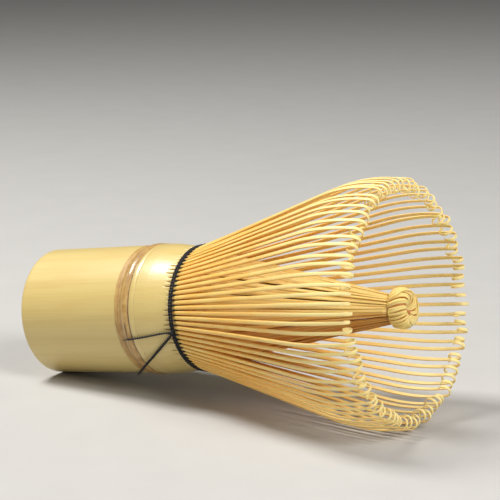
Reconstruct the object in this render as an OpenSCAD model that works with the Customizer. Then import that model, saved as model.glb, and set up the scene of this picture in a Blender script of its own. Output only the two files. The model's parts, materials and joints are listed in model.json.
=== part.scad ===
// Bamboo tea whisk lying on its side, resting on its butt and on its lowest tines.
// One length of bamboo culm is carved into a hollow handle, a ring of hooked outer tines
// and a tied inner bundle, and one black thread is wound and woven round their roots.
// Each shape is drawn upright, +Z from the butt to the tips, and lay() lays it down.

/* [Culm] */
// Length of the whisk, from the butt to the front of the tines
total_l = 110; // [105:1:118]
// Outer radius at the butt
butt_r = 16.6; // [16:0.1:17]
// Outer radius where the handle meets the node
handle_r = 16.8; // [16.5:0.1:17]
// Rounding of the butt's edges
edge_r = 0.8; // [0.4:0.1:1.5]
// Radius of the hollow in the handle
bore_r = 8.5; // [7:0.1:11]
// Distance from the butt to the start of the node
node_s = 33.2; // [30:0.1:34]
// Radius of the node's crest
crest_r = 17.2; // [17.15:0.05:17.6]
// Radius in the groove left by the sheath
groove_r = 16.8; // [16.5:0.05:17]
// Thickness of the wall inside the node
septum_t = 2.2; // [1.5:0.1:3.5]
// Outer radius of the waist that the thread is wound in
pinch_r = 15.9; // [15.8:0.05:16.2]
// Outer radius where the tines leave their roots
waist_r = 16.7; // [16.6:0.05:16.9]
// Inner radius above the node, where the wall is pared thin
pared_r = 14.2; // [13.6:0.1:14.3]
// Distance from the butt to the start of the splits
split_s = 46.5; // [44:0.1:47.2]
// Distance from the butt to where the tines leave the thread
root_s = 50.9; // [50.8:0.1:52]

/* [Outer tines] */
// Number of tines round the whisk
tine_n = 80; // [80]
// Number of sprung groups that the outer tines are joined in
group_n = 20; // [20]
// Width of a tine, across its face
tine_w = 1.0; // [0.8:0.05:1.02]
// Thickness of a tine at its root
root_t = 0.95; // [0.8:0.05:0.95]
// Thickness of a tine along its stem
stem_t = 0.6; // [0.5:0.05:0.8]
// Thickness of a tine at its tip
tip_t = 0.45; // [0.3:0.05:0.5]
// Angle at which a stem flares out from the axis
flare = 17.6; // [14:0.1:19]
// Radius of the long bend that turns a stem inwards
bend_r = 37; // [30:1:45]
// Angle below the axis at which the bend ends
dive = 8; // [5:1:12]
// Radius of the hook at the tip
hook_r = 1.6; // [1.2:0.1:2]
// Angle through which the hook curls
hook_turn = 215; // [180:5:230]

/* [Inner bundle] */
// Number of nodes that the inner tines are joined in
inner_group_n = 10; // [10]
// Gap between an inner tine and its root, which the bundle's sway needs
inner_gap = 1.3; // [1.2:0.1:1.6]
// Radius of the bundle at its roots
inner_r = 14.6; // [14.5:0.05:14.65]
// Radius of the neck behind the knot
neck_r = 3.8; // [3.6:0.1:4.5]
// Distance from the butt to the neck
neck_s = 103.4; // [102:0.1:104]
// Thickness of an inner tine
inner_t = 0.5; // [0.3:0.05:0.6]
// Width of an inner tine at its root
inner_root_w = 0.85; // [0.6:0.05:0.9]
// Width of an inner tine at the neck
inner_neck_w = 0.22; // [0.15:0.01:0.23]
// Radius of the bundle's knot
knot_r = 5.1; // [4.5:0.1:5.5]
// Half the knot's length along the axis
knot_half = 3.1; // [2.8:0.1:3.1]
// Depth of the dimple in the knot's front
dimple = 1.6; // [1:0.1:2]
// Angle by which the bundle hangs below the axis
sag = 1.35; // [0:0.05:1.5]

/* [Thread] */
// Diameter of the thread
thread_d = 0.6; // [0.5:0.05:0.6]
// Distance from the butt to the first turn
turn_s = 48.5; // [48.2:0.05:48.6]
// Radius of the knot that ties the thread
tie_r = 0.9; // [0.7:0.1:1.1]
// Angle of that knot round the whisk, from its underside
tie_angle = -78; // [-85:1:-70]

/* [Hidden] */
$fn = 96;
pitch = 360 / tine_n;
group_size = tine_n / group_n;
inner_size = tine_n / inner_group_n;
function two(n) = str(n < 10 ? "0" : "", n);
OUTER = [for (g = [1 : group_n]) str("outer_tines_", two(g))];
INNER = [for (g = [1 : inner_group_n]) str("inner_tines_", two(g))];

// Side profile of an outer tine: its middle line is a stem, a long bend and a hook.
joint_gap = 0.1;           // between a tine and its root, where its group hinges
thin_l = 9;                // length over which the root thins to the stem
bend_steps = 6;
hook_steps = 9;
tine_s = root_s + joint_gap;
tine_r = waist_r - root_t / 2;
bend_s = total_l - tip_t / 2 - hook_r * (1 - sin(dive)) - bend_r * (sin(flare) + sin(dive));
bend_start_r = tine_r + (bend_s - tine_s) * tan(flare);
function bend_point(a) = [bend_start_r + bend_r * (cos(a) - cos(flare)),
                          bend_s + bend_r * (sin(flare) - sin(a))];
function hook_point(a) = bend_point(-dive) + hook_r * [cos(a) - cos(dive), -sin(dive) - sin(a)];
bend_angles = [for (i = [0 : bend_steps]) flare - (flare + dive) * i / bend_steps];
hook_angles = [for (i = [1 : hook_steps]) -dive - hook_turn * i / hook_steps];
// A station holds a point, the direction of the tine's outer side and half its thickness.
function outward(a) = [cos(a), -sin(a)];
stations = concat(
    [[[tine_r, tine_s], [1, 0], root_t / 2],
     [[tine_r + thin_l * tan(flare), tine_s + thin_l], outward(flare), stem_t / 2]],
    [for (a = bend_angles) [bend_point(a), outward(a), stem_t / 2]],
    [for (a = hook_angles) [hook_point(a), outward(a), tip_t / 2]]);
last = len(stations) - 1;
tine_profile = concat([for (q = stations) q[0] + q[1] * q[2]],
                      [for (i = [last : -1 : 0]) stations[i][0] - stations[i][1] * stations[i][2]]);

// The lay angle makes one plane touch the butt's rounded edge and the bends of the tines.
far_r = bend_start_r - bend_r * cos(flare) - (butt_r - edge_r);
far_s = bend_s + bend_r * sin(flare) - edge_r;
tilt = acos((edge_r - bend_r - stem_t / 2) / norm([far_r, far_s])) - atan2(far_s, far_r);
axis_z = (butt_r - edge_r) * cos(tilt) - edge_r * sin(tilt) + edge_r;
hook_centre = bend_point(-dive) - hook_r * [cos(dive), sin(dive)];
x_low = edge_r * cos(tilt) - (butt_r - edge_r) * sin(tilt) - edge_r;
x_high = hook_centre[1] * cos(tilt) + hook_centre[0] * sin(tilt) + hook_r + tip_t / 2;

// Roots of the tines and of the thread
node_l = 4.6;
recess_r = bore_r + 0.5;   // hollow inside the node, which the septum closes
shoulder_s = node_s + node_l;
slot_w = 0.3;              // width of a split
split_r = [14.85, 15.35];  // radii between which the thread parts the two rows of roots
split_top_r = waist_r - root_t;
weave_r = split_r[0] + thread_d / 2 + 0.05;
turn_r = pinch_r + thread_d / 2 + 0.05;
weave_s = root_s - thread_d / 2 - 0.4;
peg_w = 0.2;               // thread squeezed between two roots
peg_l = 1.9;
inner_s = root_s + inner_gap;
sway_s = root_s + 0.6;     // hinge of the bundle
inner_slope = atan((inner_r - neck_r) / (neck_s - inner_s));
inner_l = norm([inner_r - neck_r, neck_s - inner_s]);
knot_s = total_l - knot_half;
neck_gap = 0.15;           // between the inner tines' ends and the knot's collar
collar_r = 4.1;

// Routes of the thread's two loose ends, as [radius, angle from the underside, distance]
tie_pos = [pinch_r + tie_r + 0.1, tie_angle, turn_s + 0.3];
tail_short = [[16.9, -79.5, 48.4], [17, -79, 46.5], [17.2, -78, 44], [17.5, -77, 41.5],
              [17.7, -76, 39], [17.8, -75, 36], [17.7, -74, 33.5]];
tail_long = [[17, -76, 48.2], [17.1, -66.5, 44.6], [17.7, -57.5, 41], [18.6, -49.5, 37.5],
             [19.9, -42, 34]];
tail_sides = 8;

module lay() {
    translate([-(x_low + x_high) / 2, 0, axis_z]) rotate([0, 90 - tilt, 0]) children();
}

// Round shape about the axis, from points [radius, distance]
module turned(points) {
    lay() rotate_extrude() polygon(points);
}

// Lays down what belongs to the inner bundle
module lay_bundle() {
    lay() translate([0, 0, sway_s]) rotate([0, sag, 0]) translate([0, 0, -sway_s]) children();
}

module ring(r, s, d) {
    lay() translate([0, 0, s]) rotate_extrude() translate([r, 0]) circle(d = d, $fn = 24);
}

function in_line(q) = [q[0] * cos(q[1]), q[0] * sin(q[1]), q[2]];

// Round tube of diameter d along points
module tube(points, d) {
    n = len(points);
    along = [for (i = [0 : n - 1])
        let (v = points[min(i + 1, n - 1)] - points[max(i - 1, 0)]) v / norm(v)];
    side = [for (v = along) let (c = cross(v, [1, 0, 0])) c / norm(c)];
    rings = [for (i = [0 : n - 1], k = [0 : tail_sides - 1])
        let (a = 360 * k / tail_sides)
        points[i] + d / 2 * (cos(a) * side[i] + sin(a) * cross(along[i], side[i]))];
    walls = [for (i = [0 : n - 2], k = [0 : tail_sides - 1])
        let (m = (k + 1) % tail_sides)
        [i * tail_sides + k, (i + 1) * tail_sides + k, (i + 1) * tail_sides + m, i * tail_sides + m]];
    ends = [[for (k = [0 : tail_sides - 1]) k],
            [for (k = [tail_sides - 1 : -1 : 0]) (n - 1) * tail_sides + k]];
    lay() polyhedron(rings, concat(walls, ends));
}

module handle_internode() {
    rounding = [for (a = [0 : 15 : 90]) [sin(a), 1 - cos(a)] * edge_r];
    color("khaki") turned(concat(
        [for (p = rounding) [butt_r - edge_r + p[0], p[1]]],
        [[handle_r, node_s], [bore_r, node_s]],
        [for (i = [len(rounding) - 1 : -1 : 0]) [bore_r + edge_r - rounding[i][0], rounding[i][1]]]));
}

module culm_node() {
    color("peru") turned([
        [recess_r, node_s], [handle_r, node_s], [crest_r - 0.15, node_s + 0.7],
        [crest_r, node_s + 1.3], [crest_r - 0.1, node_s + 1.9], [groove_r, node_s + 2.3],
        [groove_r + 0.05, node_s + 2.6], [crest_r - 0.15, node_s + 3.3],
        [crest_r - 0.2, shoulder_s], [recess_r, shoulder_s]]);
}

// Wall that closes the hollow at the node, a hair clear of the ring around it
module node_septum() {
    r = recess_r - 0.02;
    color("tan") turned([[0, node_s], [r, node_s], [r, node_s + septum_t], [0, node_s + septum_t]]);
}

// Upper end of the culm, split into the roots of the outer and inner tines
module split_shoulder() {
    color("khaki") difference() {
        turned([[pared_r, shoulder_s], [crest_r - 0.2, shoulder_s], [crest_r - 0.3, shoulder_s + 3],
                [pinch_r + 0.3, turn_s - 2.8], [pinch_r, turn_s - 1], [pinch_r, turn_s + thread_d * 1.5],
                [waist_r, root_s], [split_top_r, root_s],
                [split_r[1], turn_s + 1], [split_r[1], turn_s], [split_r[0], turn_s],
                [split_r[0], root_s], [pared_r, root_s]]);
        lay() for (j = [0 : tine_n - 1])
            rotate(j * pitch) translate([pared_r - 1, -slot_w / 2, split_s])
                cube([5, slot_w, root_s]);
    }
}

// Tine of the outer row, hooked inwards at its tip
module outer_tine() {
    rotate([90, 0, 0]) linear_extrude(height = tine_w, center = true) polygon(tine_profile);
}

// Group g of the outer row. The first group is centred on the underside, and the whisk rests on it.
module outer_tines(g) {
    color("gold") lay() for (j = [0 : group_size - 1])
        rotate((g * group_size + j - (group_size - 1) / 2) * pitch) outer_tine();
}

// Tine of the inner row, straight and tapering to the neck
module inner_tine() {
    translate([inner_r, 0, inner_s]) rotate([0, -inner_slope, 0]) rotate([90, 0, 90])
        linear_extrude(height = inner_t, center = true)
            polygon([[-inner_root_w / 2, 0], [inner_root_w / 2, 0],
                     [inner_neck_w / 2, inner_l], [-inner_neck_w / 2, inner_l]]);
}

module inner_tines(g) {
    color("goldenrod") lay_bundle() for (j = [0 : inner_size - 1])
        rotate((g * inner_size + j + 0.5) * pitch) inner_tine();
}

// Bun in which the inner tines end, with a collar behind it and a dimple in front
module inner_knot() {
    collar_angle = -asin((knot_s - neck_s - 1.6) / knot_half);
    bun = [for (i = [0 : 10]) let (a = collar_angle + (70 - collar_angle) * i / 10)
        [knot_r * cos(a), knot_s + knot_half * sin(a)]];
    color("wheat") lay_bundle() rotate_extrude() polygon(concat(
        [[0, neck_s + neck_gap], [collar_r, neck_s + neck_gap], [collar_r, neck_s + 1]], bun,
        [[0, knot_s + knot_half - dimple]]));
}

module thread_turn_lower() {
    color("black") ring(turn_r, turn_s, thread_d);
}

module thread_turn_upper() {
    color("black") ring(turn_r, turn_s + thread_d + 0.05, thread_d);
}

// Thread between the two rows of roots, with a loop out through every split
module thread_weave() {
    color("black") {
        ring(weave_r, weave_s, thread_d);
        lay() for (j = [0 : tine_n - 1])
            rotate(j * pitch) translate([weave_r, -peg_w / 2, weave_s - thread_d / 3])
                cube([peg_l, peg_w, thread_d * 2 / 3]);
    }
}

module thread_tie() {
    color("black") lay() translate(in_line(tie_pos)) sphere(r = tie_r, $fn = 24);
}

module thread_tail_long() {
    color("black") tube([for (q = tail_long) in_line(q)], thread_d);
}

module thread_tail_short() {
    color("black") tube([for (q = tail_short) in_line(q)], thread_d);
}

handle_internode();
culm_node();
node_septum();
split_shoulder();
for (g = [0 : group_n - 1]) outer_tines(g);
for (g = [0 : inner_group_n - 1]) inner_tines(g);
inner_knot();
thread_turn_lower();
thread_turn_upper();
thread_weave();
thread_tie();
thread_tail_long();
thread_tail_short();
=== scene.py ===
"""Looks of a bamboo tea whisk that lies on its side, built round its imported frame.

Lengths in the named values are millimetres along and about the whisk's own axis,
and place() turns them into metres in the row frame.
"""
import json
import math

import bmesh
import bpy
import numpy as np
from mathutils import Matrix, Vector


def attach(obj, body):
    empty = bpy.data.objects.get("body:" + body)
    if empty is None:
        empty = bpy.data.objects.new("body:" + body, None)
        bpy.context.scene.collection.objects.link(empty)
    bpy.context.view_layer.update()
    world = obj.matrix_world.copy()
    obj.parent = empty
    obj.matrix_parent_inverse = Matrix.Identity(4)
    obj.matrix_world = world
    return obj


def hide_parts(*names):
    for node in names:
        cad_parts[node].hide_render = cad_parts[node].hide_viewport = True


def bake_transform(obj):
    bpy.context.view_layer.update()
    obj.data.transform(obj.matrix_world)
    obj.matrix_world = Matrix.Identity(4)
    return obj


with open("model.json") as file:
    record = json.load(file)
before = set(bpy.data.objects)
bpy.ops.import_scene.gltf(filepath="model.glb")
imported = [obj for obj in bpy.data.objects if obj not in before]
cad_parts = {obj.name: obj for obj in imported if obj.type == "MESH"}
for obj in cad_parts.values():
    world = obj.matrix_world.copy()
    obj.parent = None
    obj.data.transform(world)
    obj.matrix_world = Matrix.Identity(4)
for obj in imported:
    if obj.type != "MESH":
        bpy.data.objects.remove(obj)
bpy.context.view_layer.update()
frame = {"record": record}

MM = 0.001
TAU = 2 * math.pi
rng = np.random.default_rng(29)

# ---------------------------------------------------------------- sizes, in mm
# An _S is a distance from the butt, an _R a radius.
TOTAL_L = 110.0
BUTT_R = 16.6
HANDLE_R = 16.8
BORE_R = 8.5
EDGE_R = 0.8
NODE_S = 33.2
SHOULDER_S = 37.8
NODE_RECESS_R = 9.0
SEPTUM_T = 2.2
SHOULDER_R = 17.0
PINCH_R = 15.9
PARED_R = 14.2
SHOULDER_END_S = 49.5
ROOT_S = 50.9
TURN_S = 48.5
THREAD_R = 0.3
WEAVE_R = 15.2
WEAVE_S = 50.0

TINES = 80
GROUPS = 20
GROUP_SIZE = TINES // GROUPS
INNER_GROUPS = 10
INNER_SIZE = TINES // INNER_GROUPS
FLARE = math.radians(17.6)
BEND_R = 37.0
DIVE = math.radians(8)
TINE_START_R = 15.56
TINE_START_S = 48.9

INNER_ROOT_R = 14.6
INNER_START_S = 49.4
NECK_R = 3.7
NECK_S = 103.3
SWAY_S = 51.5
SAG = math.radians(1.35)
KNOT_S = 106.9
KNOT_R = 4.95
KNOT_FLATNESS = 0.88       # its width across, as a share of its height

# ------------------------------------------------------- the whisk's own axes
MOUNTS = {m["name"]: m for m in frame["record"]["mounts"]}
ALONG = -np.array(MOUNTS["handle_bore"]["axis"])
SIDE = np.array([0.0, 1.0, 0.0])
DOWN = np.cross(SIDE, ALONG)
BORE_POINT = np.array(MOUNTS["handle_bore"]["pos_m"])
FACE_POINT = np.array(MOUNTS["butt_face"]["pos_m"])
BUTT = BORE_POINT + ((FACE_POINT - BORE_POINT) @ ALONG) * ALONG


def place(r, around, s):
    """Points in the row frame from a radius, an angle from the underside and a distance from the butt."""
    r, around, s = np.broadcast_arrays(r, around, s)
    across = r[..., None] * (np.cos(around)[..., None] * DOWN + np.sin(around)[..., None] * SIDE)
    return BUTT + MM * (s[..., None] * ALONG + across)


def place_bundle(r, around, s):
    """The same for the inner bundle, which hangs a little below the axis."""
    upright = place(r, around, s)
    hinge = BUTT + MM * SWAY_S * ALONG
    offset = upright - hinge
    down, along = offset @ DOWN, offset @ ALONG
    return (hinge + (down * math.cos(SAG) + along * math.sin(SAG))[..., None] * DOWN
            + (along * math.cos(SAG) - down * math.sin(SAG))[..., None] * ALONG
            + (offset @ SIDE)[..., None] * SIDE)


def radial(around):
    return math.cos(around) * DOWN + math.sin(around) * SIDE


def tangential(around):
    return -math.sin(around) * DOWN + math.cos(around) * SIDE


def turn_angles(count):
    """Angles of count points all round."""
    return np.arange(count) / count * TAU


def ease(x):
    """Smooth step from 0 to 1 as x goes from 0 to 1."""
    x = np.clip(x, 0, 1)
    return x * x * (3 - 2 * x)


# ------------------------------------------------------------- mesh building
def wall_faces(rows, columns, closed=False):
    """Quads between rows of points, each row a closed loop. closed joins the last row to the first."""
    i = np.arange(rows if closed else rows - 1)[:, None]
    j = np.arange(columns)[None, :]
    below, above = i * columns, (i + 1) % rows * columns
    right = (j + 1) % columns
    return np.stack([below + j, below + right, above + right, above + j], -1).reshape(-1, 4)


class Shape:
    """Collects closed skins and makes one object of them.

    Each point has a mark of three numbers that the materials read.
    """

    def __init__(self):
        self.points, self.marks, self.faces, self.count = [], [], [], 0

    def add(self, rings, marks=0.0, closed=False):
        rows, columns = rings.shape[:2]
        self.points.append(rings.reshape(-1, 3))
        self.marks.append(np.broadcast_to(marks, rings.shape).reshape(-1, 3))
        faces = (wall_faces(rows, columns, closed) + self.count).tolist()
        if not closed:
            first = [self.count + k for k in range(columns)]
            faces += [first[::-1], [k + (rows - 1) * columns for k in first]]
        self.faces += faces
        self.count += rows * columns

    def build(self, name, material):
        mesh = bpy.data.meshes.new(name)
        points = np.concatenate(self.points)
        points[:, 2] = np.maximum(points[:, 2], 0)
        mesh.from_pydata(points.tolist(), [], self.faces)
        attribute = mesh.attributes.new("mark", "FLOAT_VECTOR", "POINT")
        attribute.data.foreach_set("vector", np.concatenate(self.marks).astype(np.float32).ravel())
        b = bmesh.new()
        b.from_mesh(mesh)
        bmesh.ops.recalc_face_normals(b, faces=b.faces)
        b.to_mesh(mesh)
        b.free()
        mesh.shade_smooth()
        mesh.materials.append(material)
        piece = bpy.data.objects.new(name, mesh)
        bpy.context.scene.collection.objects.link(piece)
        return piece


def on_culm(piece, slot, *nodes):
    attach(piece, "culm")
    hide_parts(*nodes)


def smooth_noise(x, y, period, seed):
    """Value noise from -1 to 1 on a grid of unit cells, repeating in x after period cells."""
    cells = 64
    table = np.random.default_rng(seed).uniform(-1, 1, (cells, cells))
    x, y = np.broadcast_arrays(x, y)
    i, j = np.floor(x).astype(int), np.floor(y).astype(int)
    u, v = x - i, y - j
    u, v = u * u * (3 - 2 * u), v * v * (3 - 2 * v)
    a, b = i % period % cells, (i + 1) % period % cells
    c, d = j % cells, (j + 1) % cells
    low = table[a, c] * (1 - u) + table[b, c] * u
    high = table[a, d] * (1 - u) + table[b, d] * u
    return low * (1 - v) + high * v


def dense(profile, step):
    """Profile points [radius, distance, share of skin] with more points on every side longer than step."""
    out = []
    for a, b in zip(profile, profile[1:] + profile[:1]):
        a, b = np.array(a, float), np.array(b, float)
        n = max(1, math.ceil(np.linalg.norm(b[:2] - a[:2]) / step))
        out += [a + (b - a) * k / n for k in range(n)]
    return np.array(out)


def lathe(shape, profile, angles, carve):
    """Ring-shaped solid of revolution. carve gives how much to add to the radius at each point.

    The mark holds the distance, the angle and the share of skin, which falls to 0 in cuts deeper than
    least_cut, over cut_range.
    """
    least_cut, cut_range = 0.1225, 0.35
    r = profile[:, 0][:, None] + 0 * angles
    s = profile[:, 1][:, None] + 0 * angles
    around = angles + 0 * s
    added = carve(r, around, s)
    skin = profile[:, 2][:, None] * (1 - np.clip((-added - least_cut) / cut_range, 0, 1))
    shape.add(place(r + added, around, s), np.stack([s / TOTAL_L, around / TAU, skin], -1), closed=True)


# ------------------------------------------------------------------ materials
def material(name):
    m = bpy.data.materials.new(name)
    m.use_nodes = True
    tree = m.node_tree
    return m, tree, tree.nodes["Principled BSDF"]


def node(tree, kind, **inputs):
    n = tree.nodes.new(kind)
    for key, value in inputs.items():
        n.inputs[key.replace("_", " ")].default_value = value
    return n


def math_node(tree, operation, a, b):
    n = tree.nodes.new("ShaderNodeMath")
    n.operation = operation
    for socket, value in zip(n.inputs, (a, b)):
        if isinstance(value, (int, float)):
            socket.default_value = value
        else:
            tree.links.new(value, socket)
    return n.outputs[0]


def times(tree, a, b):
    return math_node(tree, "MULTIPLY", a, b)


def plus(tree, a, b):
    return math_node(tree, "ADD", a, b)


def mixed(tree, factor, a, b):
    n = tree.nodes.new("ShaderNodeMix")
    n.data_type = "RGBA"
    for socket, value in ((n.inputs[0], factor), (n.inputs[6], a), (n.inputs[7], b)):
        if isinstance(value, (int, float)):
            socket.default_value = value
        elif isinstance(value, tuple):
            socket.default_value = (*value, 1)
        else:
            tree.links.new(value, socket)
    return n.outputs[2]


def stepped(tree, value, low, high):
    """0 below low, 1 above high, and smooth between."""
    n = tree.nodes.new("ShaderNodeMapRange")
    n.interpolation_type = "SMOOTHSTEP"
    n.inputs["From Min"].default_value = low
    n.inputs["From Max"].default_value = high
    tree.links.new(value, n.inputs["Value"])
    return n.outputs["Result"]


def window(tree, value, low, high, soft):
    """1 between low and high, and 0 outside."""
    return times(tree, stepped(tree, value, low - soft, low + soft),
                 stepped(tree, value, high + soft, high - soft))


def mark_parts(tree):
    """The three numbers of each point's mark."""
    a = tree.nodes.new("ShaderNodeAttribute")
    a.attribute_name = "mark"
    split = tree.nodes.new("ShaderNodeSeparateXYZ")
    tree.links.new(a.outputs["Vector"], split.inputs[0])
    return split.outputs[0], split.outputs[1], split.outputs[2]


def axis_vector(tree, across_scale, along_scale):
    """Object coordinates turned to the whisk's axes, for a grain that runs along it."""
    coordinates = tree.nodes.new("ShaderNodeTexCoord")
    turn = tree.nodes.new("ShaderNodeMapping")
    turn.vector_type = "TEXTURE"
    turn.inputs["Rotation"].default_value = (0, math.atan2(ALONG[0], ALONG[2]), 0)
    tree.links.new(coordinates.outputs["Object"], turn.inputs["Vector"])
    scale = tree.nodes.new("ShaderNodeMapping")
    scale.inputs["Scale"].default_value = (across_scale, across_scale, along_scale)
    tree.links.new(turn.outputs[0], scale.inputs["Vector"])
    return scale.outputs[0]


def noise(tree, vector, scale, detail=3.0, roughness=0.5):
    n = node(tree, "ShaderNodeTexNoise", Scale=scale, Detail=detail, Roughness=roughness)
    tree.links.new(vector, n.inputs["Vector"])
    return n.outputs["Fac"]


def bump(tree, shader, height, strength, distance):
    n = node(tree, "ShaderNodeBump", Strength=strength, Distance=distance)
    tree.links.new(height, n.inputs["Height"])
    tree.links.new(n.outputs[0], shader.inputs["Normal"])


SKIN_PALE = (0.68, 0.53, 0.205)
SKIN_DEEP = (0.60, 0.44, 0.14)
SKIN_WARM = (0.63, 0.425, 0.12)
SCAR_DARK = (0.40, 0.205, 0.045)
SCAR_PALE = (0.56, 0.345, 0.105)
SCAR_RING = (0.27, 0.12, 0.035)
# painted shade for the groove at the node and for a crack in it
GROOVE_SHADE = (0.15, 0.085, 0.045)
CRACK_SHADE = (0.02, 0.012, 0.006)
SAWN_PALE = (0.78, 0.60, 0.30)
SAWN_DARK = (0.36, 0.20, 0.07)
# painted shade inside the shoulder's slits
SLIT_SHADE = (0.30, 0.15, 0.04)


def skin_colour(tree, along, around):
    """Pale culm skin with faint streaks and blotches, and the brown scar of the sheath round the node, with
    painted shade as a dark line along the groove at the scar's end and as a near-black crack.

    Returns the colour, the scar's window and the relief. The windows are shares of the whole length.
    """
    streaks = noise(tree, axis_vector(tree, 700, 14), 1.0, 3)
    blotches = noise(tree, axis_vector(tree, 90, 30), 1.0, 3)
    fibres = noise(tree, axis_vector(tree, 3600, 60), 1.0, 2)
    colour = mixed(tree, times(tree, stepped(tree, streaks, 0.4, 0.75), 0.55), SKIN_PALE, SKIN_DEEP)
    colour = mixed(tree, times(tree, stepped(tree, blotches, 0.45, 0.75), 0.45), colour, SKIN_WARM)
    colour = mixed(tree, times(tree, fibres, 0.15), colour, SKIN_DEEP)
    edge = noise(tree, axis_vector(tree, 260, 260), 1.0, 4)
    ragged = plus(tree, along, times(tree, edge, 0.005))
    patches = noise(tree, axis_vector(tree, 500, 900), 1.0, 5, 0.65)
    rings = noise(tree, axis_vector(tree, 60, 1500), 1.0, 3)
    brown = mixed(tree, stepped(tree, patches, 0.35, 0.65), SCAR_DARK, SCAR_PALE)
    brown = mixed(tree, times(tree, stepped(tree, rings, 0.45, 0.65), 0.7), brown, SCAR_RING)
    scar = window(tree, ragged, 0.2895, 0.3305, 0.003)
    colour = mixed(tree, times(tree, scar, 0.88), colour, brown)
    # painted shade: a dark line along the groove at the scar's end
    line = window(tree, ragged, 0.3284, 0.331, 0.0009)
    colour = mixed(tree, times(tree, line, 0.75), colour, GROOVE_SHADE)
    # painted shade: a short crack painted near-black, with no gap carved for it
    crack = times(tree, window(tree, ragged, 0.3175, 0.3205, 0.001),
                  window(tree, around, 0.755, 0.785, 0.006))
    colour = mixed(tree, times(tree, crack, 0.9), colour, CRACK_SHADE)
    return colour, scar, plus(tree, fibres, times(tree, patches, scar))


def culm_material(name, coat, coat_roughness):
    """Skin outside, and pale sawn wood with dark fibre ends where it is cut; in the slits the cut wood is
    painted dark brown, a painted shade.
    """
    m, tree, shader = material(name)
    along, around, skin = mark_parts(tree)
    colour, scar, relief = skin_colour(tree, along, around)
    dots = node(tree, "ShaderNodeTexVoronoi", Scale=1.0, Randomness=0.9)
    tree.links.new(axis_vector(tree, 1500, 60), dots.inputs["Vector"])
    ends = stepped(tree, dots.outputs["Distance"], 0.32, 0.18)
    wood = mixed(tree, times(tree, ends, 0.7), SAWN_PALE, SAWN_DARK)
    # painted shade: cut wood from the slits' part of the shoulder on is painted dark brown
    shaded_slits = stepped(tree, along, 0.38, 0.40)
    wood = mixed(tree, shaded_slits, wood, SLIT_SHADE)
    colour = mixed(tree, stepped(tree, skin, 0.75, 0.35), colour, wood)
    tree.links.new(colour, shader.inputs["Base Color"])
    tree.links.new(plus(tree, 0.36, times(tree, scar, 0.2)), shader.inputs["Roughness"])
    shader.inputs["Coat Weight"].default_value = coat
    shader.inputs["Coat Roughness"].default_value = coat_roughness
    bump(tree, shader, relief, 0.25, 0.00015)
    return m


def bamboo_pith():
    m, tree, shader = material("bamboo_pith")
    patches = noise(tree, axis_vector(tree, 400, 400), 1.0, 5, 0.6)
    colour = mixed(tree, patches, (0.80, 0.66, 0.42), (0.58, 0.40, 0.20))
    tree.links.new(colour, shader.inputs["Base Color"])
    shader.inputs["Roughness"].default_value = 0.8
    bump(tree, shader, patches, 0.5, 0.0004)
    return m


def tine_material(name, pale, mid, deep, tip, shade, tip_from):
    """Split bamboo, whose inner face is painted nearer to deep by shade, a painted shade, and which pales
    from tip_from on.
    Its sides are darker, partly the split wood's natural tone and partly painted shade. The mark's third
    number
    mixes in deep: a painted shade on the underside strands of the inner bundle, and a random tone on the
    others.

    The mark holds how far along the tine a point is, how far out its face looks, and a tone for each strand,
    which on the underside strands of the inner bundle is raised for painted shade.
    """
    m, tree, shader = material(name)
    along, outward, own = mark_parts(tree)
    stretched = tree.nodes.new("ShaderNodeCombineXYZ")
    for socket, part, scale in zip(stretched.inputs, (along, outward, own), (14, 3.5, 90)):
        tree.links.new(times(tree, part, scale), socket)
    grain = noise(tree, stretched.outputs[0], 1.0, 4, 0.6)
    long_grain = noise(tree, stretched.outputs[0], 0.35, 2)
    colour = mixed(tree, stepped(tree, grain, 0.35, 0.7), pale, mid)
    colour = mixed(tree, times(tree, stepped(tree, long_grain, 0.45, 0.7), 0.25), colour, deep)
    # painted shade: the mark's third number, raised on the underside strands of the inner bundle, mixes in
    # deep; on other strands it is a random tone
    painted_shade_and_tone = times(tree, times(tree, own, own), 0.1 + 1.1 * shade)
    colour = mixed(tree, painted_shade_and_tone, colour, deep)
    # painted shade: the inner face goes toward deep by shade
    colour = mixed(tree, times(tree, stepped(tree, outward, 0.6, 0.3), shade), colour, deep)
    colour = mixed(tree, times(tree, stepped(tree, along, tip_from, 0.6), 0.85), colour, tip)
    # the sides go toward deep: partly the split wood's natural tone, partly painted shade that sets lit tops
    # against shaded sides
    flank_tone_and_shade = times(tree, window(tree, outward, 0.12, 0.85, 0.08), 0.45 - 0.3 * shade)
    colour = mixed(tree, flank_tone_and_shade, colour, deep)
    tree.links.new(colour, shader.inputs["Base Color"])
    shader.inputs["Roughness"].default_value = 0.42
    shader.inputs["Specular IOR Level"].default_value = 0.3
    shader.inputs["Subsurface Weight"].default_value = 0.25
    shader.inputs["Subsurface Radius"].default_value = (0.0012, 0.0006, 0.0002)
    shader.inputs["Subsurface Scale"].default_value = 1.0
    bump(tree, shader, grain, 0.3, 0.0001)
    return m


def black_thread():
    m, tree, shader = material("black_thread")
    fibres = noise(tree, axis_vector(tree, 9000, 9000), 1.0, 3)
    colour = mixed(tree, fibres, (0.003, 0.0033, 0.005), (0.018, 0.019, 0.027))
    tree.links.new(colour, shader.inputs["Base Color"])
    shader.inputs["Roughness"].default_value = 0.75
    shader.inputs["Sheen Weight"].default_value = 0.08
    shader.inputs["Sheen Roughness"].default_value = 0.4
    bump(tree, shader, fibres, 0.5, 0.0001)
    return m


def floor_material():
    m, tree, shader = material("studio_floor")
    coordinates = tree.nodes.new("ShaderNodeTexCoord")
    grain = noise(tree, coordinates.outputs["Object"], 60, 3)
    colour = mixed(tree, grain, (0.46, 0.455, 0.445), (0.50, 0.495, 0.485))
    tree.links.new(colour, shader.inputs["Base Color"])
    shader.inputs["Roughness"].default_value = 0.85
    return m


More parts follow.
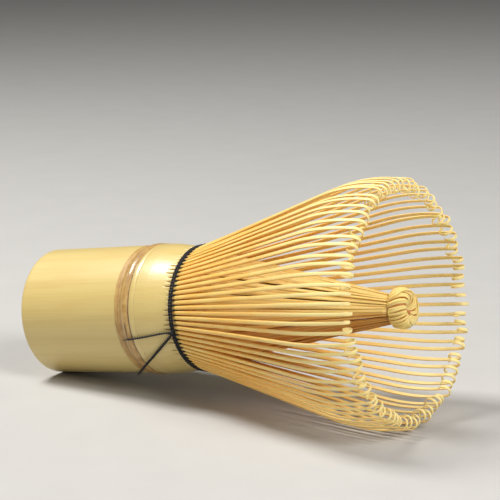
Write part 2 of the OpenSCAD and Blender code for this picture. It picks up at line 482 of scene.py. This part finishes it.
SKIN = culm_material("bamboo_skin", coat=0.4, coat_roughness=0.5)
POLISHED = culm_material("bamboo_polished", coat=0.45, coat_roughness=0.32)
NODE = culm_material("bamboo_node", coat=0.8, coat_roughness=0.2)
PITH = bamboo_pith()
TINE = tine_material("bamboo_tine", pale=(0.94, 0.66, 0.22), mid=(0.90, 0.54, 0.12),
                     deep=(0.76, 0.35, 0.045), tip=(0.95, 0.80, 0.38), shade=0.1, tip_from=0.18)
# the inner strands' deep colour is painted shade: the saturated orange of the shadowed bundle
INNER = tine_material("bamboo_inner", pale=(0.99, 0.72, 0.26), mid=(0.95, 0.60, 0.16),
                      deep=(0.43, 0.11, 0.005), tip=(0.99, 0.74, 0.27), shade=0.8, tip_from=0.48)
THREAD = black_thread()


# ------------------------------------------------------------------- the culm
def ring_noise(around, cells, y, seed):
    """Noise round the culm, with cells of it in a whole turn."""
    return smooth_noise(around / TAU * cells, y, cells, seed)


def flutes(around, s):
    """Slight out-of-roundness and the faint ribs of the skin."""
    wide = 0.05 * np.cos(2 * around + 0.8) + 0.03 * np.cos(3 * around - 0.4)
    return wide + 0.016 * ring_noise(around, 56, s / 26, 5)


def make_handle():
    """Hollow handle with rounded edges at its sawn butt."""
    rounding = [(math.sin(a), 1 - math.cos(a)) for a in np.linspace(0, math.pi / 2, 7)]
    profile = [[BUTT_R - EDGE_R + EDGE_R * x, EDGE_R * y, x ** 3] for x, y in rounding]
    profile += [[HANDLE_R, NODE_S, 1], [BORE_R, NODE_S, 0]]
    profile += [[BORE_R + EDGE_R - EDGE_R * x, EDGE_R * y, 0] for x, y in rounding[::-1]]

    def carve(r, around, s):
        outside = ease((r - BORE_R) / 4)
        saw_marks = 0.02 * ring_noise(around, 60, r * 2.5, 8) * (s < EDGE_R)
        return flutes(around, s) * outside + saw_marks

    shape = Shape()
    lathe(shape, dense(profile, 0.7), turn_angles(288), carve)
    on_culm(shape.build("handle", SKIN), "bamboo_skin", "handle_internode")


def make_node():
    """Node ring, with the rough scar of the sheath, a groove and a second crest."""
    scar_s, groove_s = 34.5, 36.0
    outline = [[HANDLE_R, NODE_S], [16.9, 33.6], [17.09, 34.0], [17.19, 34.5], [17.19, 35.0], [17.08, 35.4],
               [16.9, 35.75], [16.8, 36.0], [16.9, 36.15], [17.06, 36.4], [17.14, 36.8], [17.10, 37.3],
               [SHOULDER_R, SHOULDER_S]]
    profile = [[r, s, 1] for r, s in outline] + [[NODE_RECESS_R, SHOULDER_S, 0], [NODE_RECESS_R, NODE_S, 0]]

    def carve(r, around, s):
        outside = ease((r - 12) / 4)
        scar = np.exp(-((s - scar_s) / 0.9) ** 2)
        rough = 0.05 * ring_noise(around, 60, s * 4.5, 3) + 0.04 * ring_noise(around, 24, s * 9, 4)
        groove = np.exp(-((s - groove_s - 0.07 * np.sin(3 * around)) / 0.13) ** 2)
        pits = np.clip(ring_noise(around, 40, s * 1.6, 6) - 0.45, 0, 1)
        cut = 0.10 * (0.6 + 0.4 * ring_noise(around, 30, s * 0 + 1, 7)) * groove
        return outside * (flutes(around, s) + rough * scar - cut - 0.25 * pits * groove)

    shape = Shape()
    lathe(shape, dense(profile, 0.16), turn_angles(420), carve)
    on_culm(shape.build("node_ring", NODE), "bamboo_node", "culm_node")


def make_septum():
    """Slightly domed wall across the hollow, with a wavy skin."""
    shape = Shape()
    edge = NODE_RECESS_R - 0.03
    angles = turn_angles(96)
    outwards = np.linspace(0.1, edge, 20)
    rings, marks = [], []
    for face_s, radii in ((NODE_S + 0.03, outwards), (NODE_S + SEPTUM_T, outwards[::-1])):
        for r in radii:
            dome = 0.45 * (1 - (r / edge) ** 2)
            wave = 0.08 * ring_noise(angles, 12, r * 1.5 + 0 * angles, 9) * (r < edge - 0.1)
            s = face_s + dome + np.abs(wave)
            rings.append(place(r, angles, s))
            marks.append(np.stack([s / TOTAL_L, angles / TAU, r / BUTT_R + 0 * angles], -1))
    shape.add(np.array(rings), np.array(marks))
    on_culm(shape.build("septum", PITH), "bamboo_pith", "node_septum")


def make_shoulder():
    """Pared end of the culm. Its slits open from their starts on, and crowned roots stand between them."""
    outline = [[SHOULDER_R, SHOULDER_S], [16.96, 39.5], [16.88, 41.0], [16.7, 42.5], [16.47, 44.0],
               [16.21, 45.5], [16.0, 46.8], [PINCH_R, 47.8], [PINCH_R, SHOULDER_END_S]]
    profile = [[r, s, 1] for r, s in outline] + [[PARED_R, SHOULDER_END_S, 0], [PARED_R, SHOULDER_S, 0]]
    columns = np.array([-0.5, -0.34, -0.2, -0.12, -0.07, -0.02, 0.02, 0.07, 0.12, 0.2, 0.34])
    starts = rng.uniform(45.4, 47.3, TINES)
    angles = ((np.arange(TINES)[:, None] + columns) / TINES * TAU).ravel()
    slit = np.tile(np.where(np.abs(columns) < 0.05, 1.0, np.where(np.abs(columns) < 0.1, 0.55, 0.0)), TINES)
    crown = np.tile(0.05 * np.cos(columns * TAU), TINES)
    start = np.repeat(starts, len(columns))

    def carve(r, around, s):
        outside = (r > (PINCH_R + PARED_R) / 2).astype(float)
        opened = ease((s - start) / 1.6)
        depth = 0.6 * opened * slit
        return outside * (flutes(around, s) * (1 - opened) - depth - crown * opened)

    shape = Shape()
    lathe(shape, dense(profile, 0.28), angles, carve)
    on_culm(shape.build("shoulder", POLISHED), "bamboo_skin", "split_shoulder")


# ------------------------------------------------------------ the outer tines
# Section of a tine, with the rounded outer face at +y.
SECTION = np.array([(-10, -6), (-8.5, -9), (-5, -10), (5, -10), (8.5, -9), (10, -6), (10, 4),
                    (8, 8.5), (4.5, 10), (0, 10.6), (-4.5, 10), (-8, 8.5), (-10, 4)]) / 10


def angle_line(pieces):
    """Line built of arcs (length, first angle, last angle, steps).

    Returns its points [radius, distance], its direction and its length so far at each of them.
    """
    at = np.zeros(2)
    points, angles, lengths = [at.copy()], [pieces[0][1]], [0.0]
    for length, first, last, steps in pieces:
        for k in range(steps):
            middle = first + (last - first) * (k + 0.5) / steps
            at = at + length / steps * np.array([math.sin(middle), math.cos(middle)])
            points.append(at.copy())
            angles.append(first + (last - first) * (k + 1) / steps)
            lengths.append(lengths[-1] + length / steps)
    return np.array(points), np.array(angles), np.array(lengths)


def tine_line(flare, bend_r, hook_r, hook_turn, front):
    """Middle line of an outer tine, whose stem is as long as its front needs."""
    hook_from = -DIVE - 0.45

    def line(stem):
        return angle_line([(stem, flare, flare, 18), (bend_r * (flare + DIVE), flare, -DIVE, 20),
                           (1.4 * hook_r * 0.5, -DIVE, hook_from, 4),
                           (hook_r * hook_turn, hook_from, hook_from - hook_turn, 26)])

    reach = line(1.0)[0][:, 1].max() - math.cos(flare)
    points, angles, lengths = line((front - TINE_START_S - reach) / math.cos(flare))
    return points + np.array([TINE_START_R, TINE_START_S]), angles, lengths


def add_outer_tine(shape, j):
    """Stem of rounded section that thins to a flat ribbon and curls inwards at its tip."""
    at_edge = j % GROUP_SIZE in (0, GROUP_SIZE - 1)
    loose = 0.3 if at_edge else 1.0
    around = (j - (GROUP_SIZE - 1) / 2) / TINES * TAU
    flare = FLARE + math.radians(np.clip(rng.normal(0, 0.25), -0.5, 0.4))
    hook_r = rng.uniform(1.25, 1.7)
    hook_turn = math.radians(rng.uniform(175, 300))
    front = TOTAL_L - 0.25 - abs(np.clip(rng.normal(0, 0.5), -1.2, 1.2))
    lean = loose * np.clip(rng.normal(0, 0.22), -0.4, 0.4)
    twist = loose * math.radians(rng.normal(0, 9))
    own = rng.uniform()
    points, angles, lengths = tine_line(flare, BEND_R * rng.uniform(0.92, 1.05), hook_r, hook_turn, front)
    total = lengths[-1]
    share = lengths / total
    thick = np.interp(lengths, [0, 2.0, 12, 45, total - 9, total], [0.85, 0.9, 0.58, 0.5, 0.34, 0.2])
    wide = np.interp(lengths, [0, 30, 45, total - 9, total - 4, total - 0.4, total],
                     [0.98, 1.0, 1.0, 0.88, 0.82, 0.78, 0.6])
    spiral = loose * rng.choice([-1, 1]) * rng.uniform(0.1, 0.5) * ease((lengths - (total - 6)) / 6)
    sway = lean * ease(share) + spiral + 0.05 * np.sin(lengths / 9 + 20 * own) * ease(lengths / 20)
    hook_share = ease((lengths - (total - 9)) / 7)
    out, along, across = radial(around), ALONG, tangential(around)
    rings = []
    for k in range(len(points)):
        r, s = points[k]
        normal = math.cos(angles[k]) * out - math.sin(angles[k]) * along
        heading = math.sin(angles[k]) * out + math.cos(angles[k]) * along
        turn = twist * hook_share[k]
        wide_way = math.cos(turn) * across + math.sin(turn) * normal
        thick_way = np.cross(wide_way, heading)
        thick_way *= np.sign(thick_way @ normal)
        centre = BUTT + MM * (s * along + r * out + sway[k] * across)
        rings.append(centre + MM / 2 * (SECTION[:, :1] * wide[k] * wide_way
                                        + SECTION[:, 1:] * thick[k] * thick_way))
    rings = np.array(rings)
    marks = np.empty_like(rings)
    marks[..., 0] = lengths[:, None] / 100
    marks[..., 1] = (SECTION[:, 1] + 1) / 2
    marks[..., 2] = own
    shape.add(rings, marks)


def make_outer_tines():
    """One piece for each group of tines."""
    for g in range(GROUPS):
        name = f"{g + 1:02d}"
        shape = Shape()
        for j in range(g * GROUP_SIZE, (g + 1) * GROUP_SIZE):
            add_outer_tine(shape, j)
        piece = shape.build(f"tines_{name}", TINE)
        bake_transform(piece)
        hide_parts(f"outer_tines_{name}")


# ----------------------------------------------------------- the inner bundle
# Section of a strand
STRAND = np.array([(math.cos(a), math.sin(a)) for a in turn_angles(8)])


def strip(shape, path, outer_way, wide, thick, own, lengths):
    """Flat strand along a path. outer_way is the direction that its outer face looks in at each point."""
    heading = np.gradient(path, axis=0)
    heading /= np.linalg.norm(heading, axis=1)[:, None]
    thick_way = outer_way - heading * (outer_way * heading).sum(1)[:, None]
    thick_way /= np.linalg.norm(thick_way, axis=1)[:, None]
    wide_way = np.cross(heading, thick_way)
    rings = path[:, None] + MM / 2 * (STRAND[:, 0][None, :, None] * (wide[:, None] * wide_way)[:, None]
                                      + STRAND[:, 1][None, :, None] * (thick[:, None] * thick_way)[:, None])
    marks = np.empty_like(rings)
    marks[..., 0] = lengths[:, None]
    marks[..., 1] = (STRAND[:, 1] + 1) / 2
    marks[..., 2] = own
    shape.add(rings, marks)


def add_inner_tine(shape, j):
    """Flat strand from its root to the neck. Those on the underside are marked as deeper in colour, a
    painted shade.
    """
    around = (j + 0.5) / TINES * TAU
    # painted shade: strands on the bundle's underside get a higher mark, which deepens their colour
    own = 0.25 * rng.uniform() + 0.75 * ease(math.cos(around) + 0.45)
    steps = np.linspace(0, 1, 40)
    s = INNER_START_S + (NECK_S + 1.2 - INNER_START_S) * steps
    neck = NECK_R + rng.uniform(-0.32, 0.13)
    bulge = rng.normal(0, 0.11)
    bow = np.sin(math.pi * steps)
    r = np.interp(s, [INNER_START_S, 51.5, NECK_S, NECK_S + 1.2],
                  [INNER_ROOT_R, INNER_ROOT_R - 0.1, neck, neck - 0.2])
    r = r + bulge * bow + 0.06 * np.sin(steps * 17 + own * 30) * bow
    drift = rng.normal(0, 0.016) * bow + rng.normal(0, 0.05) * steps
    angle = around + drift
    path = place_bundle(r, angle, s)
    outer_way = np.cos(angle)[:, None] * DOWN + np.sin(angle)[:, None] * SIDE
    wide = np.interp(s, [INNER_START_S, 53, 68, 80, NECK_S], [0.95, 1.42, 1.3, 1.08, 0.5])
    thick = np.interp(s, [INNER_START_S, 60, NECK_S], [0.75, 0.5, 0.36])
    strip(shape, path, outer_way, wide, thick, own, (s - INNER_START_S) / TOTAL_L)


def make_inner_tines():
    """One piece for each group of strands."""
    start, end = place(0.0, 0.0, ROOT_S + 0.2), place(0.0, 0.0, ROOT_S + 16.0)
    for g in range(INNER_GROUPS):
        name = f"{g + 1:02d}"
        shape = Shape()
        for j in range(g * INNER_SIZE, (g + 1) * INNER_SIZE):
            add_inner_tine(shape, j)
        piece = shape.build(f"inner_strands_{name}", INNER)
        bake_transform(piece)
        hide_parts(f"inner_tines_{name}")


def bun_lines():
    """Outline of the bun from the neck over its edge into the dimple.

    Returns the share of the outline, the radius, the distance and the outward normal at each point.
    """
    fine = np.linspace(0, 1, 200)
    stops = np.linspace(0, 1, 9)
    r = np.interp(fine, stops, [3.0, 3.6, 4.7, KNOT_R, 4.8, 4.1, 3.0, 1.6, 0.1])
    s = np.interp(fine, stops, [NECK_S - 0.4, 104.3, 105.1, 106.6, 108.0, 109.2, 109.6, 109.0, 107.6])
    kernel = np.hanning(27) / np.hanning(27).sum()
    r, s = (np.convolve(np.pad(line, 13, "edge"), kernel, "valid") for line in (r, s))
    normal_r, normal_s = np.gradient(s), -np.gradient(r)
    size = np.hypot(normal_r, normal_s)
    return fine, r, s, normal_r / size, normal_s / size


def add_bun_strand(shape, lines, along, angle, lift, wide, thick, own):
    """Strand laid on the bun, lift above its surface, through points given as share along it and angle."""
    fine, r, s, normal_r, normal_s = lines
    out_r, out_s = np.interp(along, fine, normal_r), np.interp(along, fine, normal_s)
    bun_r, bun_s = np.interp(along, fine, r), np.interp(along, fine, s)
    path = place_bundle(bun_r + lift * out_r, angle, bun_s + lift * out_s)
    path = path + MM * 0.2 * ease((along - 0.6) / 0.4)[:, None] * DOWN
    path[:, 1] *= KNOT_FLATNESS
    across = np.cos(angle)[:, None] * DOWN + np.sin(angle)[:, None] * SIDE
    strip(shape, path, out_r[:, None] * across + out_s[:, None] * ALONG, wide, thick, own, 0.5 + 0.2 * along)


def make_knot():
    """Bun in which the inner tines end.

    They swirl over its edge into the dimple, one tuft folds round it, and a core fills it, marked toward the
    deep colour as painted shade in the creases.
    """
    shape, lines = Shape(), bun_lines()
    steps = np.linspace(0, 1, 46)
    bow = np.sin(math.pi * steps)
    strands = 38
    for k in range(strands):
        first = k / strands * TAU
        turn = 15 + 130 * (0.5 - 0.5 * math.cos(first + math.radians(45))) ** 1.5
        angle = first - math.radians(turn + rng.normal(0, 5)) * ease(steps) + rng.normal(0, 0.04)
        lift = rng.uniform(-0.16, 0.1) * bow - 0.26
        wide = np.interp(steps, [0, 0.2, 0.4, 0.7, 0.9, 1], [0.6, 0.8, 0.88, 0.66, 0.5, 0.4])
        wide = wide * rng.uniform(0.8, 1.1)
        add_bun_strand(shape, lines, steps, angle, lift, 1.08 * wide, 0.76 * wide,
                       0.1 + 0.42 * rng.uniform())
    tuft = 7
    stops = [0, 0.3, 0.45, 0.8, 1]
    for k in range(tuft):
        offset = k - tuft // 2
        along = np.interp(steps, stops, [0.05, 0.36, 0.50, 0.70, 0.97]) + 0.03 * offset * (1 - steps)
        angle = np.radians(np.interp(steps, stops, [215, 190, 150, 20, -60]) + 8 * offset)
        lift = 0.28 * np.sin(math.pi * np.clip(steps * 1.1, 0, 1)) + rng.uniform(-0.06, 0.1) - 0.1
        wide = np.interp(steps, [0, 0.3, 0.8, 1], [0.5, 0.75, 0.65, 0.25])
        add_bun_strand(shape, lines, along, angle, lift, wide, 0.8 * wide, 0.5 * rng.uniform())
    fine, r, s = lines[:3]
    at = np.linspace(0.02, 0.98, 24)
    core_r = np.maximum(np.interp(at, fine, r) * 0.86, 0.05)
    core_s = KNOT_S + (np.interp(at, fine, s) - KNOT_S) * 0.84
    rings = place_bundle(core_r[:, None], turn_angles(48)[None, :], core_s[:, None])
    # painted shade: the core's mark takes it most of the way to deep, so the creases between strands look
    # shaded
    core_shade_mark = np.array([0.3, 0.35, 0.5])
    shape.add(rings, core_shade_mark)
    piece = shape.build("inner_bun", INNER)
    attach(piece, "inner_bundle")
    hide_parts("inner_knot")


# ------------------------------------------------------------------ the thread
PLY_R = 0.165
PLY_OFFSET = 0.15
PLY_TWIST = 1.5            # length of thread in which a ply goes once round
THREAD_STEP = 0.16
TIE_AROUND = math.radians(-78)
FLOOR_GAP = 0.0001         # in metres, for fibres above the floor


def smooth_path(points, steps):
    """Points along a Catmull-Rom curve through a few given ones."""
    p = np.array([2 * points[0] - points[1], *points, 2 * points[-1] - points[-2]])
    out = []
    for i in range(1, len(p) - 2):
        for t in np.arange(steps) / steps:
            out.append(0.5 * (2 * p[i] + (p[i + 1] - p[i - 1]) * t
                              + (2 * p[i - 1] - 5 * p[i] + 4 * p[i + 1] - p[i + 2]) * t * t
                              + (3 * p[i] - p[i - 1] - 3 * p[i + 1] + p[i + 2]) * t ** 3))
    return np.array(out + [p[-2]])


def even_path(path, step):
    """The same path in metres with points step millimetres apart."""
    gaps = np.linalg.norm(np.diff(path, axis=0), axis=1) / MM
    lengths = np.concatenate([[0], np.cumsum(gaps)])
    at = np.linspace(0, lengths[-1], max(2, math.ceil(lengths[-1] / step)))
    return np.stack([np.interp(at, lengths, path[:, k]) for k in range(3)], -1), at


def carried(path, first):
    """Two directions across a path at each point, carried along without twist."""
    heading = np.gradient(path, axis=0)
    heading /= np.linalg.norm(heading, axis=1)[:, None]
    across = np.empty_like(path)
    v = np.array(first, float)
    for i, h in enumerate(heading):
        v = v - h * (v @ h)
        v = v / np.linalg.norm(v)
        across[i] = v
    return across, np.cross(heading, across)


def add_thread(shape, path, first, taper=0.0, size=1.0):
    """Two-ply twisted thread along a path. taper thins its last millimetres."""
    path, lengths = even_path(path, THREAD_STEP)
    across, other = carried(path, first)
    thin = np.clip((lengths[-1] - lengths) / taper, 0.35, 1) if taper else np.ones(len(lengths))
    sides = turn_angles(7)
    ring = (np.cos(sides)[None, :, None] * across[:, None]
            + np.sin(sides)[None, :, None] * other[:, None])
    for ply in range(2):
        phase = TAU * lengths / PLY_TWIST + ply * math.pi
        offset = np.cos(phase)[:, None] * across + np.sin(phase)[:, None] * other
        centre = path + MM * PLY_OFFSET * size * thin[:, None] * offset
        shape.add(centre[:, None] + MM * PLY_R * size * thin[:, None, None] * ring)


def add_fuzz(shape, path, count, length):
    """Short loose fibres that stand off a thread."""
    corners = np.array([(1, 0), (-0.5, 0.87), (-0.5, -0.87)])
    t = np.linspace(0, 1, 5)[:, None]
    thickness = MM * 0.022 * np.linspace(1, 0.4, 5)[:, None, None]
    for _ in range(count):
        i = rng.integers(1, len(path) - 1)
        way = rng.normal(0, 1, 3)
        way /= np.linalg.norm(way)
        bend = rng.normal(0, 0.5, 3)
        reach = MM * length * rng.uniform(0.4, 1.0)
        fibre = path[i] + reach * (way * t + bend * t * t * 0.5)
        fibre[:, 2] = np.maximum(fibre[:, 2], FLOOR_GAP)
        a = np.cross(way, [0.3, 0.5, 0.8])
        a /= np.linalg.norm(a)
        b = np.cross(way, a)
        shape.add(fibre[:, None] + thickness * (corners[:, :1] * a + corners[:, 1:] * b))


def make_turns():
    """One thread wound twice round the waist, as a lower and an upper turn."""
    for name, s0, s1, cad in (("thread_first_turn", TURN_S - 0.02, TURN_S + 0.1, "thread_turn_lower"),
                              ("thread_second_turn", TURN_S + 0.63, TURN_S + 0.75, "thread_turn_upper")):
        share = np.linspace(0, 1, 600)
        around = TIE_AROUND + share * TAU
        s = np.interp(share, [0, 1], [s0, s1]) + 0.03 * np.sin(around * 5)
        r = PINCH_R + THREAD_R + 0.06 + 0.02 * np.sin(around * 40)
        shape = Shape()
        path = place(r, around, s)
        add_thread(shape, path, ALONG)
        add_fuzz(shape, path, 60, 0.7)
        on_culm(shape.build(name, THREAD), "black_thread", cad)


def make_weave():
    """Thread between the two rows of roots, squeezed out through every split."""
    shape = Shape()
    around = np.linspace(0, 1, 600) * TAU
    add_thread(shape, place(WEAVE_R, around, WEAVE_S), ALONG)
    sides = turn_angles(10)
    size = np.array([0.8, 1.0, 1.15, 1.1, 0.8, 0.3])
    for j in range(TINES):
        at = j / TINES * TAU
        reach = 16.75 + rng.normal(0, 0.06)
        radii = np.array([WEAVE_R, 15.8, 16.3, 16.5, 16.65, reach])
        shift = WEAVE_S + rng.normal(0, 0.05)
        section = (0.17 * np.cos(sides)[:, None] * tangential(at) + 0.40 * np.sin(sides)[:, None] * ALONG)
        shape.add(place(radii, at, shift)[:, None] + MM * size[:, None, None] * section)
    on_culm(shape.build("thread_weaving", THREAD), "black_thread", "thread_weave")


def make_tie():
    """Small overhand knot on the winding."""
    knot_size = 0.34
    t = np.linspace(0, TAU, 120, endpoint=False)
    x = knot_size * (np.sin(t) + 2 * np.sin(2 * t)) / 1.6
    y = knot_size * (np.cos(t) - 2 * np.cos(2 * t)) / 1.6
    z = -knot_size * np.sin(3 * t) / 1.2
    centre = place(PINCH_R + 0.78, TIE_AROUND, TURN_S + 0.3)
    path = centre + MM * (x[:, None] * ALONG + y[:, None] * tangential(TIE_AROUND)
                          + z[:, None] * radial(TIE_AROUND))
    shape = Shape()
    add_thread(shape, path, radial(TIE_AROUND), size=0.95)
    add_fuzz(shape, path, 20, 0.6)
    on_culm(shape.build("thread_knot", THREAD), "black_thread", "thread_tie")


# Routes of the loose ends, as [radius, angle from the underside in degrees, distance]
SHORT_END = [[16.9, -79.5, 48.4], [16.85, -79, 46.5], [17.05, -78, 44], [17.35, -77, 41.5],
             [17.55, -76, 39], [17.65, -75, 36], [17.6, -74, 33.5]]
LONG_END = [[17, -76, 48.2], [17.1, -66.5, 44.6], [17.7, -57.5, 41], [18.6, -49.5, 37.5], [19.9, -42, 34]]


def make_tails():
    """Two frayed loose ends, the longer one hanging free."""
    for name, route, cad, fibres, size in (("thread_end_short", SHORT_END, "thread_tail_short", 50, 1.0),
                                           ("thread_end_long", LONG_END, "thread_tail_long", 200, 1.3)):
        points = np.array([place(r, math.radians(a), s) for r, a, s in route])
        path = smooth_path(points, 16)
        shape = Shape()
        add_thread(shape, path, radial(TIE_AROUND), taper=2.0, size=size)
        add_fuzz(shape, path, fibres, 0.8)
        add_fuzz(shape, path[-14:], fibres // 2, 1.3)
        on_culm(shape.build(name, THREAD), "black_thread", cad)


# ---------------------------------------------------------- floor and lighting
def make_floor():
    """Pale floor, a hair below the lowest points."""
    bpy.ops.mesh.primitive_grid_add(size=8, x_subdivisions=8, y_subdivisions=8, location=(0, 0, -0.00005))
    floor = bpy.context.object
    floor.name = "floor"
    floor.data.materials.append(floor_material())


def area_light(name, spot, aim, size, watts, colour):
    light = bpy.data.lights.new(name, "AREA")
    light.shape = "SQUARE"
    light.size = size
    light.energy = watts
    light.color = colour
    lamp = bpy.data.objects.new(name, light)
    bpy.context.scene.collection.objects.link(lamp)
    lamp.location = spot
    lamp.rotation_euler = (Vector(aim) - Vector(spot)).to_track_quat("-Z", "Y").to_euler()


# Name, place in metres, size in metres, watts and colour
LIGHTS = (("key", (-0.36, -0.10, 0.76), 0.30, 7.8, (1.0, 0.98, 0.94)),
          ("front", (0.10, -0.75, 0.40), 0.4, 0.5, (1.0, 0.98, 0.95)),
          ("mouth", (0.70, -0.25, 0.65), 0.4, 7.2, (1.0, 0.98, 0.95)),
          ("back", (0.3, 0.8, 0.4), 0.5, 1.0, (1, 1, 1)))


def make_lights():
    """Soft studio lights that all aim at the whisk's middle, and a faint even world."""
    for name, spot, size, watts, colour in LIGHTS:
        area_light(name, spot, (0, 0, 0.03), size, watts, colour)
    world = bpy.data.worlds.new("studio")
    bpy.context.scene.world = world
    world.use_nodes = True
    background = world.node_tree.nodes["Background"]
    background.inputs["Color"].default_value = (0.88, 0.87, 0.85, 1)
    background.inputs["Strength"].default_value = 0.10


def make_view():
    """Plain colours, without the filmic curve that greys bright yellows."""
    bpy.context.scene.view_settings.view_transform = "Standard"


def make_camera():
    """Camera that looks at the whisk from the mouth's side, a little above it."""
    azimuth, elevation, distance = math.radians(32.6), math.radians(12.0), 0.514
    back = Vector((math.sin(azimuth) * math.cos(elevation), -math.cos(azimuth) * math.cos(elevation),
                   math.sin(elevation)))
    aim = Vector((0.0064, 0.0, 0.0403))
    camera = bpy.data.cameras.new("camera")
    camera.sensor_width = 36
    camera.lens = 145.4
    camera.clip_start = 0.01
    eye = bpy.data.objects.new("camera", camera)
    bpy.context.scene.collection.objects.link(eye)
    eye.location = aim + distance * back
    eye.rotation_euler = (-back).to_track_quat("-Z", "Y").to_euler()
    bpy.context.scene.camera = eye


make_view()
make_camera()
make_lights()
make_floor()
make_handle()
make_node()
make_septum()
make_shoulder()
make_outer_tines()
make_inner_tines()
make_knot()
make_turns()
make_weave()
make_tie()
make_tails()
